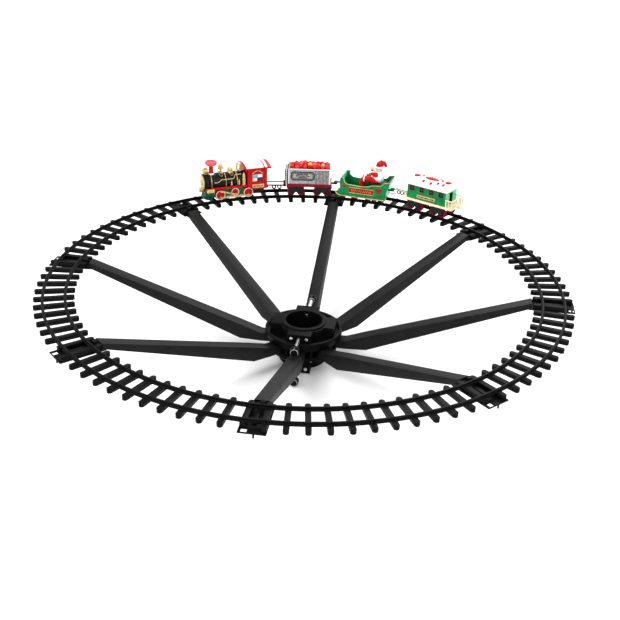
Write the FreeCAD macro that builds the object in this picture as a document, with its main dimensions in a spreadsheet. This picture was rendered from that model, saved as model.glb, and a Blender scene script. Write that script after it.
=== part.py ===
import FreeCAD, Part
import math
import os
import re
from FreeCAD import Placement, Rotation, Vector

# A battery train on a ring railway that hangs round a pole: eight curved track
# sections on eight arms, a two-part hub with four thumb screws, a steam
# locomotive and three wagons. Millimetres. The origin is the centre of the
# pole bore at the hub's lower face, +Z is up, and arm 1 points along -Y.

os.makedirs("parts", exist_ok=True)
doc = FreeCAD.newDocument("ring_railway")

DIMENSIONS = {
    # track
    "track_radius": 416.15, "rail_spacing": 35.6, "rail_top": 157.0,
    "rail_height": 6.4, "rail_head": 3.3, "rail_web": 1.8, "rail_foot": 4.8,
    "tie_length": 65.6, "tie_width": 8.4, "tie_height": 6.9, "tie_drop": 4.5,
    "tie_pitch": 3.75, "tie_count": 12, "tie_corner": 2.5, "section_angle": 45.0,
    "first_tie": 1.875, "joint_gap": 0.04,
    # support arms, each with a tray under the rail joint
    "arm_top_width": 21.0, "arm_base_width": 25.5, "arm_root": 46.0,
    "arm_heel": 75.0, "arm_kink": 112.0, "arm_end": 381.0,
    "arm_base_height": 31.5, "arm_root_top": 46.0, "arm_draft": 5.0,
    "arm_kink_base": 33.5, "arm_kink_top": 59.5, "arm_end_base": 142.3,
    "arm_end_top": 151.8, "tray_inner": 378.0, "tray_outer": 451.0,
    "tray_half_width": 19.4, "tray_thickness": 2.0, "notch_inner": 441.0,
    # hub
    "bore_radius": 32.0, "collar_radius": 43.0, "rim_radius": 39.5,
    "core_radius": 45.5, "hub_height": 76.0, "hub_split": 39.0,
    "upper_flange": 67.3, "upper_step": 63.0, "lower_flange": 60.0,
    "boss_width": 41.0, "boss_face": 55.5, "clamp_height": 9.0,
    "post_radius": 54.0, "screw_fit": 0.05,
    # clamp screws
    "bolt_radius": 3.0, "knob_radius": 8.0, "knob_start": 91.0, "knob_end": 105.0,
    # wheels
    "wheel_gap": 0.15, "flange_depth": 1.5, "tread_inner": 15.4, "tread_outer": 19.6,
    "wheel_back": 14.1, "driver_radius": 10.0, "blind_radius": 8.2, "wagon_wheel": 7.5,
    "driver_base": 59.5, "blind_offset": 1.55, "blind_lift": 4.0, "crank": 5.0,
    "axle_radius": 1.5, "wagon_axle": 1.2, "axle_fit": 0.05, "pin_radius": 1.0,
    # locomotive
    "loco_angle": 120.3, "boiler_radius": 17.5, "boiler_axis": 34.0, "boiler_wall": 1.8,
    "board_low": 22.8, "board_top": 25.0, "board_half": 20.0, "cab_half": 24.0,
    "cab_rear": 69.0, "cab_front": 28.0, "cab_low": 17.0, "cab_wall": 2.0,
    "gear_module": 0.6, "gear_teeth": 30, "pinion_teeth": 10,
    # wagons
    "gift_angle": 97.7, "sleigh_angle": 81.1, "coach_angle": 61.3,
    "bogie_offset": 28.0, "bogie_base": 20.0, "sleigh_base": 44.0,
    "bogie_top": 19.9, "frame_low": 20.0, "frame_top": 24.5, "pivot_radius": 2.5,
}

dims = doc.addObject("Spreadsheet::Sheet", "dims")
for row, (alias, size) in enumerate(DIMENSIONS.items(), start=1):
    dims.set("A%d" % row, alias)
    dims.set("B%d" % row, str(size))
    dims.setAlias("B%d" % row, alias)
doc.recompute()

FUNCTIONS = {"cos", "sin", "tan", "sqrt"}
sub_parts = []


def from_sheet(text):
    """Turn every plain word of an expression into a reference to the sheet."""
    def refer(word):
        return word.group() if word.group() in FUNCTIONS else "dims." + word.group()
    return re.sub(r"[a-z][a-z_]*", refer, str(text))


def number(text):
    """The value that an expression has now."""
    return float(dims.evalExpression(from_sheet(text)))


def bind(thing, name, text):
    thing.setExpression(name, from_sheet(text))


def keep(label, thing, placement=Placement()):
    """Name a finished sub-part and put it where it belongs."""
    thing.Label = label
    thing.Placement = placement
    sub_parts.append(thing)
    return thing


# --- solids -----------------------------------------------------------------

def box(x, y, z):
    """A block between two corners, each range a pair of expressions."""
    solid = doc.addObject("Part::Box", "block")
    for size, axis, (low, high) in zip(("Length", "Width", "Height"), "xyz", (x, y, z)):
        bind(solid, size, "(%s) - (%s)" % (high, low))
        bind(solid, "Placement.Base." + axis, low)
    return solid


TURN = {"x": Rotation(Vector(0, 1, 0), 90), "y": Rotation(Vector(1, 0, 0), -90), "z": Rotation()}


def rod(axis, start, end, across, radius):
    """A round bar along an axis from start to end; across is its place in the
    other two directions, in X, Y, Z order."""
    solid = doc.addObject("Part::Cylinder", "rod")
    solid.Placement = Placement(Vector(), TURN[axis])
    bind(solid, "Radius", radius)
    bind(solid, "Height", "(%s) - (%s)" % (end, start))
    bind(solid, "Placement.Base." + axis, start)
    for other, place in zip([name for name in "xyz" if name != axis], across):
        bind(solid, "Placement.Base." + other, place)
    return solid


def ball(centre, radii):
    solid = doc.addObject("Part::Ellipsoid", "ball")
    for name, size in zip(("Radius2", "Radius3", "Radius1"), radii):
        bind(solid, name, size)
    solid.Angle1 = -90
    for axis, place in zip("xyz", centre):
        bind(solid, "Placement.Base." + axis, place)
    return solid


def fuse(*solids):
    joined = doc.addObject("Part::MultiFuse", "joined")
    joined.Shapes = list(solids)
    joined.Refine = True
    return joined


def common(*solids):
    shared = doc.addObject("Part::MultiCommon", "shared")
    shared.Shapes = list(solids)
    return shared


def cut(base, *tools):
    """Base less every tool."""
    left = doc.addObject("Part::Cut", "cut")
    left.Base = base
    left.Tool = tools[0] if len(tools) == 1 else fuse(*tools)
    return left


def group(*solids):
    together = doc.addObject("Part::Compound", "group")
    together.Links = list(solids)
    return together


def moved(solid, base, rotation=Rotation()):
    """Shift a solid that is bound to nothing in its own placement."""
    solid.Placement = Placement(base, rotation)
    return solid


# --- sketched bodies ----------------------------------------------------------

def new_body(name):
    return doc.addObject("PartDesign::Body", name)


def plane_of(body, role):
    return [item for item in body.Origin.OriginFeatures if item.Role == role][0]


def sketch_on(body, role, offset=0.0):
    sketch = body.newObject("Sketcher::SketchObject", "sketch")
    sketch.AttachmentSupport = [(plane_of(body, role), "")]
    sketch.MapMode = "FlatFace"
    sketch.AttachmentOffset = Placement(Vector(0, 0, offset), Rotation())
    return sketch


def hold(sketch, kind, line, text, end=1):
    """Tie one end of a line to the sketch's origin along X or Y."""
    import Sketcher
    place = number(text)
    if abs(place) < 1e-9:
        axis = -2 if kind == "DistanceX" else -1
        sketch.addConstraint(Sketcher.Constraint("PointOnObject", line, end, axis))
        return
    index = sketch.addConstraint(Sketcher.Constraint(kind, -1, 1, line, end, place))
    sketch.setExpression("Constraints[%d]" % index, from_sheet(text))


def outline(sketch, points):
    """Closed outline of straight lines through points, tied to the sheet."""
    import Sketcher
    corners = [Vector(number(x), number(y), 0) for x, y in points]
    last = len(corners) - 1
    for index, corner in enumerate(corners):
        following = corners[0] if index == last else corners[index + 1]
        sketch.addGeometry(Part.LineSegment(corner, following), False)
    for index in range(last + 1):
        following = 0 if index == last else index + 1
        sketch.addConstraint(Sketcher.Constraint("Coincident", index, 2, following, 1))
    for index, (x, y) in enumerate(points):
        hold(sketch, "DistanceX", index, x)
        hold(sketch, "DistanceY", index, y)


def pad(body, sketch, length, symmetric=False):
    feature = body.newObject("PartDesign::Pad", "pad")
    feature.Profile = sketch
    bind(feature, "Length", length)
    feature.SideType = "Symmetric" if symmetric else "One side"
    return feature


def revolve(body, sketch, axis, angle="360"):
    feature = body.newObject("PartDesign::Revolution", "turned")
    feature.Profile = sketch
    feature.ReferenceAxis = (sketch, [axis])
    bind(feature, "Angle", angle)
    return feature


def turned(name, points):
    """A solid of revolution about Z from an outline of radius and height."""
    body = new_body(name)
    sketch = sketch_on(body, "XZ_Plane")
    outline(sketch, points)
    revolve(body, sketch, "V_Axis")
    return body


def turned_along_y(name, points):
    """A solid of revolution about Y from an outline of radius and place."""
    body = new_body(name)
    sketch = sketch_on(body, "XY_Plane")
    outline(sketch, points)
    revolve(body, sketch, "V_Axis")
    return body


def side_plate(name, points, width):
    """A plate cut to a side view (X, Z), its width centred on the middle plane."""
    body = new_body(name)
    sketch = sketch_on(body, "XZ_Plane")
    outline(sketch, points)
    pad(body, sketch, width, symmetric=True)
    return body


def span(centre, half):
    return ("(%s) - (%s)" % (centre, half), "(%s) + (%s)" % (centre, half))


def both(half):
    return ("-(%s)" % half, half)


# --- places round the ring ------------------------------------------------------

def round_ring(angle, radius=0.0, height=0.0):
    """A frame turned by angle about Z, its X pointing outward."""
    turn = Rotation(Vector(0, 0, 1), angle)
    return Placement(turn.multVec(Vector(radius, 0, height)), turn)


def on_track(angle, half_base):
    """A vehicle's frame: X forward, anticlockwise round the ring, Y to the left,
    towards the pole, Z up from the rail top. Points half_base ahead and behind
    lie over the track's centre line."""
    radius = math.sqrt(number("track_radius") ** 2 - half_base ** 2)
    turn = Rotation(Vector(0, 0, 1), angle + 90)
    base = round_ring(angle, radius, number("rail_top")).Base
    return Placement(base, turn)


def at(x, y=0, z=0, rotation=Rotation()):
    return Placement(Vector(x, y, z), rotation)


LOCO = on_track(number("loco_angle"), number("driver_base / 2"))
GIFT = on_track(number("gift_angle"), number("bogie_offset"))
SLEIGH = on_track(number("sleigh_angle"), number("sleigh_base / 2"))
COACH = on_track(number("coach_angle"), number("bogie_offset"))
AXLE_UP = number("driver_radius + wheel_gap")
WAGON_AXLE_UP = number("wagon_wheel + wheel_gap")


# --- stand: track, arms, hub -------------------------------------------------------

def tie():
    """One tie with clipped ends, across the track at the X axis."""
    body = new_body("tie")
    sketch = sketch_on(body, "XY_Plane", number("rail_top - tie_drop - tie_height"))
    inner, outer = "track_radius - tie_length / 2", "track_radius + tie_length / 2"
    half = "tie_width / 2"
    outline(sketch, [
        (inner + " + tie_corner", "-" + half), (outer + " - tie_corner", "-" + half),
        (outer, "tie_corner - " + half), (outer, half + " - tie_corner"),
        (outer + " - tie_corner", half), (inner + " + tie_corner", half),
        (inner, half + " - tie_corner"), (inner, "tie_corner - " + half)])
    pad(body, sketch, "tie_height")
    return body


def rail(side):
    """One curved T-shaped rail, inner or outer, let into the ties."""
    body = new_body("rail")
    middle = "track_radius %s rail_spacing / 2" % side
    foot = "rail_top - rail_height"
    profile = [("rail_foot / 2", foot), ("rail_foot / 2", foot + " + 2.3"),
               ("rail_web / 2", foot + " + 2.9"), ("rail_web / 2", "rail_top - 2.1"),
               ("rail_head / 2", "rail_top - 1.5"), ("rail_head / 2", "rail_top - 0.4"),
               ("rail_head / 2 - 0.4", "rail_top")]
    points = [("%s + %s" % (middle, across), height) for across, height in profile]
    points += [("%s - (%s)" % (middle, across), height) for across, height in reversed(profile)]
    sketch = sketch_on(body, "XZ_Plane")
    outline(sketch, points)
    revolve(body, sketch, "V_Axis", "section_angle - joint_gap")
    return body


def turned_copy(solid, angle):
    """A copy of a solid, turned about the pole by an angle from the sheet."""
    copy = group(solid)
    copy.Placement = round_ring(1.0)
    bind(copy, "Placement.Rotation.Angle", angle)
    return copy


def track_sections():
    """Eight equal mouldings, each two curved rails on its ties. The last tie is
    cut short over the notch of the tray."""
    sleeper = tie()
    notch_side = box(("notch_inner - 1", "track_radius + tie_length"), both("tie_width"),
                     ("rail_top - tie_drop - tie_height - 1", "rail_top"))
    short = cut(sleeper, notch_side)
    last = int(number("tie_count")) - 1
    ties = [turned_copy(sleeper, "first_tie + tie_pitch * %d" % place) for place in range(last)]
    ties.append(turned_copy(short, "first_tie + tie_pitch * %d" % last))
    section = fuse(rail("-"), rail("+"), *ties)
    for index in range(8):
        copy = turned_copy(section, "section_angle * %d - 90 + joint_gap / 2" % index)
        keep("track_section_%d" % (index + 1), copy, copy.Placement)


def flank(side, rise):
    """Block whose inner face is one leaning flank of an arm: it follows the
    arm's top edge and leans out towards the base."""
    block = doc.addObject("Part::Box", "flank")
    block.Length, block.Width, block.Height = 460, 20, 160
    lean = Rotation(Vector(1, 0, 0), side * number("arm_draft"))
    climb = Rotation(Vector(0, 1, 0), -rise)
    start = Vector(-80, 0 if side > 0 else -20, -90)
    edge = Vector(number("arm_kink"), side * number("arm_top_width / 2"), number("arm_kink_top"))
    turn = climb.multiply(lean)
    block.Placement = Placement(edge + turn.multVec(start), turn)
    return block


def support_arms():
    """Eight equal arms: a tapered beam from the hub up to a tray that carries
    the joint of two track sections."""
    run = number("arm_end - arm_kink")
    rise = math.degrees(math.atan2(number("arm_end_top - arm_kink_top"), run))
    beam = side_plate("beam", [
        ("arm_root", "arm_base_height"), ("arm_heel", "arm_base_height"), ("arm_kink", "arm_kink_base"),
        ("arm_end", "arm_end_base"), ("arm_end", "arm_end_top"), ("arm_kink", "arm_kink_top"),
        ("arm_heel", "arm_root_top"), ("arm_root", "arm_root_top")], "arm_base_width + 2")
    beam = cut(beam, flank(1, rise), flank(-1, rise))
    deck = "rail_top - tie_drop - tie_height"
    under = deck + " - tray_thickness"
    tray = box(("tray_inner", "tray_outer"), both("tray_half_width"), (under, deck))
    keel = box(("arm_end - 4", "tray_outer - 20"), both("arm_top_width / 2"), (under + " - 4", under))
    rib = box(("track_radius - 14", "track_radius + 14"), both("3"), (deck, deck + " + 3.4"))
    clip = rod("z", deck, "rail_top - 1", ("389", "3.5"), "3.6")
    tab = box(("tray_inner + 6", "tray_inner + 10"), ("-6.5", "-1.5"), (deck, deck + " + 4.4"))
    peg = rod("z", under + " - 7", under, ("tray_outer - 2.5", "2"), "1.4")
    notch = box(("notch_inner", "tray_outer - 1.5"), ("-15.5", "-7"), (under + " - 1", deck + " + 1"))
    whole = cut(fuse(beam, tray, keel, rib, clip, tab, peg), notch)
    for index in range(8):
        copy = turned_copy(whole, "section_angle * %d - 90" % index)
        keep("support_arm_%d" % (index + 1), copy, copy.Placement)


def ring_of(count, make, start=0.0):
    """Count copies of a solid, evenly round the pole."""
    copies = []
    for index in range(count):
        copies.append(moved(group(make()), Vector(), Rotation(Vector(0, 0, 1), start + 360.0 / count * index)))
    return copies


def boss_holes(height, sides):
    """Holes through the bosses for the thumb screw and its two side screws."""
    holes = []
    for side in sides:
        start, end = ("0", "boss_face + 2") if side > 0 else ("-boss_face - 2", "0")
        holes.append(rod("y", start, end, ("0", height), "bolt_radius + screw_fit"))
        start, end = ("boss_face - 8", "boss_face + 2") if side > 0 else ("-boss_face - 2", "8 - boss_face")
        for across in ("13", "-13"):
            holes.append(rod("y", start, end, (across, height), "1.5 + screw_fit"))
    return holes


def hub_upper_ring():
    """Upper half of the hub: collar, dished flange and four bosses."""
    ring = turned("hub_upper", [
        ("bore_radius", "hub_split"), ("core_radius", "hub_split"), ("core_radius", "arm_root_top"),
        ("upper_step", "arm_root_top"), ("upper_step", "53"), ("upper_flange", "53"),
        ("upper_flange", "61"), ("upper_flange - 1", "62"), ("62", "62"), ("61", "56"),
        ("collar_radius", "56"), ("collar_radius", "hub_height - 3"), ("rim_radius", "hub_height - 3"),
        ("rim_radius", "hub_height - 0.8"), ("rim_radius - 0.8", "hub_height"),
        ("bore_radius", "hub_height")])
    bosses = ring_of(4, lambda: box(("core_radius - 12", "boss_face"), both("boss_width / 2"), ("55", "hub_height - 2")))
    bore = rod("z", "-1", "hub_height + 1", ("0", "0"), "bore_radius")
    threads = ring_of(8, lambda: rod("z", "40", "51", ("post_radius", "0"), "1.5 + screw_fit"), 22.5)
    holes = boss_holes("hub_height - clamp_height", (-1, 1))
    body = cut(fuse(ring, *bosses), bore, *threads, *holes)
    return keep("hub_upper_ring", body)


def hub_lower_ring():
    """Lower half of the hub: collar, flange, posts between the arms, bosses."""
    ring = turned("hub_lower", [
        ("bore_radius", "hub_split"), ("bore_radius", "0"), ("rim_radius", "0"),
        ("rim_radius", "3"), ("collar_radius", "3"), ("collar_radius", "24"),
        ("lower_flange - 1", "24"), ("lower_flange", "25"), ("lower_flange", "arm_base_height"),
        ("core_radius", "arm_base_height"), ("core_radius", "hub_split")])
    bosses = ring_of(2, lambda: box(("core_radius - 12", "boss_face"), both("boss_width / 2"), ("0.6", "24.5")), 90)
    posts = ring_of(8, lambda: rod("z", "arm_base_height - 1", "arm_root_top", ("post_radius", "0"), "4"), 22.5)
    bore = rod("z", "-1", "hub_height + 1", ("0", "0"), "bore_radius")
    threads = ring_of(8, lambda: rod("z", "23", "47", ("post_radius", "0"), "1.5 + screw_fit"), 22.5)
    holes = boss_holes("clamp_height", (-1, 1))
    recesses = ring_of(8, lambda: rod("z", "-1", "24", ("post_radius", "0"), "3.1"), 22.5)
    body = cut(fuse(ring, *bosses, *posts), bore, *threads, *recesses, *holes)
    return keep("hub_lower_ring", body)


def hub_screws():
    """Eight screws that pull the hub halves together, and two beside each
    thumb screw."""
    screws = ring_of(8, lambda: fuse(rod("z", "21.8", "24", ("post_radius", "0"), "2.9"),
                                     rod("z", "24", "50", ("post_radius", "0"), "1.5")), 22.5)
    for height in ("clamp_height", "hub_height - clamp_height"):
        for across in ("13", "-13"):
            screws.append(fuse(rod("y", "-boss_face - 2", "-boss_face", (across, height), "2.9"),
                               rod("y", "-boss_face", "7.5 - boss_face", (across, height), "1.5")))
            screws.append(fuse(rod("y", "boss_face", "boss_face + 2", (across, height), "2.9"),
                               rod("y", "boss_face - 7.5", "boss_face", (across, height), "1.5")))
    return keep("hub_screws", group(*screws))


def clamp_screw(index, angle, height):
    """Thumb screw: a steel bolt with a round moulded knob."""
    body = turned("clamp_screw", [
        ("0", "bore_radius + 0.4"), ("bolt_radius - 0.8", "bore_radius + 0.4"),
        ("bolt_radius", "bore_radius + 1.2"), ("bolt_radius", "knob_start - 4"),
        ("4.4", "knob_start - 4"), ("5.2", "knob_start"), ("knob_radius - 1.6", "knob_start + 0.6"),
        ("knob_radius", "knob_start + 3"), ("knob_radius", "knob_end - 3"),
        ("knob_radius - 1.6", "knob_end - 0.6"), ("4", "knob_end"), ("0", "knob_end")])
    lie = round_ring(angle, 0.0, number(height)).multiply(Placement(Vector(), Rotation(Vector(0, 1, 0), 90)))
    return keep("clamp_screw_%d" % index, body, lie)


# --- wheels, bogies --------------------------------------------------------------------

HUB_FACE = "tread_outer + 0.5"


def wheel_outline(radius, axle, axle_end):
    """Half of a wheelset's outline, from the middle of the axle outward."""
    points = [(axle, "wheel_back"), (radius + " + flange_depth - 0.5", "wheel_back"),
              (radius + " + flange_depth", "wheel_back + 0.5"), (radius + " + 0.3", "tread_inner"),
              (radius, "tread_inner + 0.3"), (radius, "tread_outer"), (radius + " - 1.6", "tread_outer"),
              (radius + " - 2", "tread_outer - 1.3"), ("2.6", "tread_outer - 1.3"), ("2.4", HUB_FACE)]
    if axle_end != HUB_FACE:
        points += [(axle, HUB_FACE), (axle, axle_end)]
    return points + [("0", axle_end)]


def wheelset(name, radius, axle, axle_end):
    right = wheel_outline(radius, axle, axle_end)
    left = [(size, "-(%s)" % place) for size, place in reversed(right)]
    return turned_along_y(name, left + right)


def crank_pin(side, phase):
    """Pin on the wheel's face; phase is -1 for bottom, 1 for top."""
    start, end = ("tread_outer - 2", "tread_outer + 3.1")
    if side < 0:
        start, end = "-(%s)" % end, "-(%s)" % start
    return rod("y", start, end, ("0", "%d * crank" % phase), "pin_radius")


def driving_wheelset(label, forward, *extra):
    wheels = wheelset("driving_wheels", "driver_radius", "axle_radius", HUB_FACE)
    whole = fuse(wheels, crank_pin(1, -1), crank_pin(-1, 1), *extra)
    return keep(label, whole, LOCO.multiply(at(forward, 0, AXLE_UP)))


def middle_wheel(label, side):
    """Flangeless wheel on its own stub, turned by the side rod."""
    points = [("0", "9.5"), ("axle_radius", "9.5"), ("axle_radius", "tread_inner - 0.5"),
              ("blind_radius", "tread_inner - 0.5"), ("blind_radius", "tread_outer"),
              ("blind_radius - 1.5", "tread_outer"), ("blind_radius - 1.9", "tread_outer - 1.3"),
              ("2.6", "tread_outer - 1.3"), ("2.4", "tread_outer + 0.5"), ("0", "tread_outer + 0.5")]
    if side < 0:
        points = [(size, "-(%s)" % place) for size, place in reversed(points)]
    whole = fuse(turned_along_y("middle_wheel", points), crank_pin(side, -side))
    lift = AXLE_UP + number("blind_lift")
    return keep(label, whole, LOCO.multiply(at(-number("blind_offset"), 0, lift)))


def side_rod(label, side):
    """Coupling rod with three eyes and the arm towards the cylinder."""
    low, high = ("tread_outer + 0.9", "tread_outer + 2.7")
    if side < 0:
        low, high = "-(%s)" % high, "-(%s)" % low
    thickness = "1.8"
    middle = "%s" % (number(low) / 2 + number(high) / 2)
    bar = side_plate("rod_bar", [
        ("-driver_base / 2", "-1.5"), ("driver_base / 2", "-1.5"), ("driver_base / 2", "1.5"),
        ("6", "1.5"), ("1.4", "blind_lift + 1.4"), ("-4.5", "blind_lift + 1.4"),
        ("-9", "1.5"), ("-driver_base / 2", "1.5")], thickness)
    reach = side_plate("rod_arm", [
        ("-1.5", "blind_lift - 1.4"), ("30.5", "12.4"), ("29.5", "15.4"), ("-2.5", "blind_lift + 1.6")],
        thickness)
    for plate in (bar, reach):
        bind(plate, "Placement.Base.y", middle)
    centres = [("driver_base / 2", "0"), ("-driver_base / 2", "0"), ("-blind_offset", "blind_lift")]
    eyes = [rod("y", low, high, centre, "2.6") for centre in centres]
    tip = rod("y", low, high, ("30", "13.9"), "1.9")
    holes = [rod("y", low + " - 1", high + " + 1", centre, "pin_radius + axle_fit") for centre in centres]
    lift = AXLE_UP - side * number("crank")
    return keep(label, cut(fuse(bar, reach, tip, *eyes), *holes), LOCO.multiply(at(0, 0, lift)))


def bogie(label, vehicle, forward):
    """Two-axle bogie: bolster, two side frames and the pivot pin."""
    bolster = box(both("bogie_base / 2 + 5"), both("22.6"), ("bogie_top - 2.2", "bogie_top"))
    parts = [bolster, rod("z", "bogie_top - 0.5", "frame_top - 1", ("0", "0"), "pivot_radius")]
    for side in ("", "-"):
        frame = side_plate("bogie_side", [
            ("-15", "bogie_top - 1"), ("-13.4", "5.6"), ("-8", "4"), ("-5", "4"), ("-3", "9"),
            ("3", "9"), ("5", "4"), ("8", "4"), ("13.4", "5.6"), ("15", "bogie_top - 1")], "2.1")
        bind(frame, "Placement.Base.y", side + "21.55")
        parts.append(frame)
        for place in ("bogie_base / 2", "-bogie_base / 2"):
            parts.append(rod("y", side + "22.1" if not side else "-23.4", "23.4" if not side else "-22.1",
                             (place, "wagon_wheel + wheel_gap"), "2.6"))
    holes = [rod("y", "-22.5", "22.5", (place, "wagon_wheel + wheel_gap"), "wagon_axle + axle_fit")
             for place in ("bogie_base / 2", "-bogie_base / 2")]
    seat = bogie_seat(vehicle, forward)
    return keep(label, cut(fuse(*parts), *holes), seat)


def bogie_seat(vehicle, forward):
    """A bogie's frame: over the track's centre line and along its tangent."""
    lean = math.degrees(math.asin(forward / number("track_radius")))
    return vehicle.multiply(at(forward, 0, 0, Rotation(Vector(0, 0, 1), lean)))


def wagon_wheelset(label, seat, forward, axle_end="22.3"):
    wheels = wheelset("wagon_wheels", "wagon_wheel", "wagon_axle", axle_end)
    return keep(label, group(wheels), seat.multiply(at(forward, 0, WAGON_AXLE_UP)))


def bogie_pair(prefix, vehicle):
    """Front and rear bogie of a wagon, each with two wheelsets."""
    for name, forward in (("front", number("bogie_offset")), ("rear", -number("bogie_offset"))):
        bogie("%s_bogie_%s" % (prefix, name), vehicle, forward)
        for count, place in enumerate((0.5, -0.5), start=1):
            wagon_wheelset("%s_%s_wheelset_%d" % (prefix, name, count), bogie_seat(vehicle, forward),
                           place * number("bogie_base"))


def seen_from(vehicle, other, x, y=0.0):
    """Where a point of another vehicle lies in this vehicle's own frame."""
    point = vehicle.inverse().multVec(other.multVec(Vector(x, y, 0)))
    return point.x, point.y


# --- locomotive ----------------------------------------------------------------------------

def loco_chassis():
    """Green underframe: battery bay, motor bay, running boards and pilot."""
    axle = "driver_radius + wheel_gap"
    frame = box(("-66", "46"), both("12.8"), ("4", "board_low"))
    boards = box(("-cab_front", "60"), both("board_half"), ("board_low", "board_top"))
    pilot = side_plate("pilot", [
        ("46", "board_low"), ("46", "1.5"), ("60", "1.5"), ("63", "3"), ("58", "13"), ("60", "13"),
        ("60", "board_low")], "2 * board_half - 5")
    pilot = cut(pilot, *[moved(group(box(("0", "30"), ("0", "30"), ("0", "12.5"))),
                               Vector(63.5, side * 8, 0), Rotation(Vector(0, 0, 1), turn))
                         for side, turn in ((1, 37), (-1, -127))])
    tongue = box(("-79", "-66"), both("4.5"), ("10", "12.5"))
    peg = rod("z", "12.5", "18.5", ("-75", "0"), "axle_radius")
    cylinders = [box(("43.5", "58"), span(side + "20.2", "4.2"), ("12.5", "board_low")) for side in ("", "-")]
    bay = box(both("27.2"), both("8"), ("3", "20.2"))
    door_seat = box(both("27.5"), both("8.8"), ("3", "5.2"))
    motor_x, motor_z = motor_axis()
    motor_bay = box(span(str(motor_x), "8"), ("-10.4", "9"), ("%s - 6" % motor_z, "board_low + 1"))
    gear_slot = box(("-42.4", "-18.8"), ("9", "11.6"), ("3", "board_low + 1"))
    holes = [rod("y", "-14", "14", (place, axle), "axle_radius + axle_fit")
             for place in ("driver_base / 2", "-driver_base / 2")]
    stubs = [rod("y", start, end, ("-blind_offset", axle + " + blind_lift"), "axle_radius + axle_fit")
             for start, end in (("9.2", "14"), ("-14", "-9.2"))]
    switch_slot = box(("-60", "-50.8"), both("2.6"), ("3", "7.2"))
    whole = cut(fuse(frame, boards, pilot, tongue, peg, *cylinders),
                bay, door_seat, motor_bay, gear_slot, *holes, *stubs, switch_slot)
    return keep("loco_chassis", whole, LOCO)


def boiler_bands():
    return [rod("x", start, end, ("0", "boiler_axis"), "boiler_radius + 0.5")
            for start, end in (("46", "47.6"), ("16", "17.6"), ("-8", "-6.4"))]


def barrel():
    """The boiler's outside, which everything that sits on it is cut to."""
    return fuse(rod("x", "-40", "61.5", ("0", "boiler_axis"), "boiler_radius"), *boiler_bands())


def loco_boiler():
    """Boiler and smokebox shell, open below where it sits on the boards."""
    shell = cut(rod("x", "-cab_front", "61.5", ("0", "boiler_axis"), "boiler_radius"),
                rod("x", "-cab_front + 1.8", "59", ("0", "boiler_axis"), "boiler_radius - boiler_wall"))
    below = box(("-40", "70"), both("30"), ("0", "board_top"))
    inside = rod("x", "-cab_front + 1.8", "59", ("0", "boiler_axis"), "boiler_radius - boiler_wall")
    bands = [cut(band, inside) for band in boiler_bands()]
    return keep("loco_boiler", cut(fuse(shell, *bands), below), LOCO)


def loco_cab():
    """Cab with windows, wheel arches and a curved roof."""
    crown, low_edge = 68.0, 62.0
    half = 27.0
    rise = crown - low_edge
    curve = "%s" % ((half ** 2 + rise ** 2) / (2 * rise))
    centre = "%s - %s" % (crown, curve)
    outer = rod("x", "-cab_rear - 8", "-cab_front + 6", ("0", centre), curve)
    walls = common(box(("-cab_rear", "-cab_front"), both("cab_half"), ("cab_low", "%s" % crown)),
                   rod("x", "-cab_rear - 8", "-cab_front + 6", ("0", centre), curve))
    roof = cut(common(outer, box(("-cab_rear - 8", "-cab_front + 6"), both("%s" % half), ("55", "75"))),
               rod("x", "-cab_rear - 9", "-cab_front + 7", ("0", centre), curve + " - 2.4"))
    room = box(("-cab_rear + cab_wall", "-cab_front - cab_wall"), both("cab_half - cab_wall"),
               ("cab_low - 1", "60"))
    window = box(("-59", "-37"), both("cab_half + 1"), ("33.5", "48.5"))
    door = box(("-cab_rear - 1", "-cab_rear + 3"), both("9"), ("34", "52"))
    arch = rod("y", "-cab_half - 1", "cab_half + 1", ("-driver_base / 2", "driver_radius"), "13")
    step = box(("-cab_front - 3", "-cab_front + 1"), both("13"), ("cab_low - 1", "board_low"))
    return keep("loco_cab", cut(fuse(walls, roof), room, window, door, arch, step), LOCO)


def loco_smokestack():
    stack = turned("smokestack", [
        ("0", "47"), ("6.5", "47"), ("6.5", "52.5"), ("4.6", "55.5"), ("4.6", "66"), ("6.4", "68.2"),
        ("11", "70.5"), ("12.2", "73"), ("12.2", "75.5"), ("10.6", "77.6"), ("8.2", "78"),
        ("7.2", "75.4"), ("0", "75.4")])
    stack.Placement = at(43.3)
    return keep("loco_smokestack", cut(stack, barrel()), LOCO)


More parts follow.
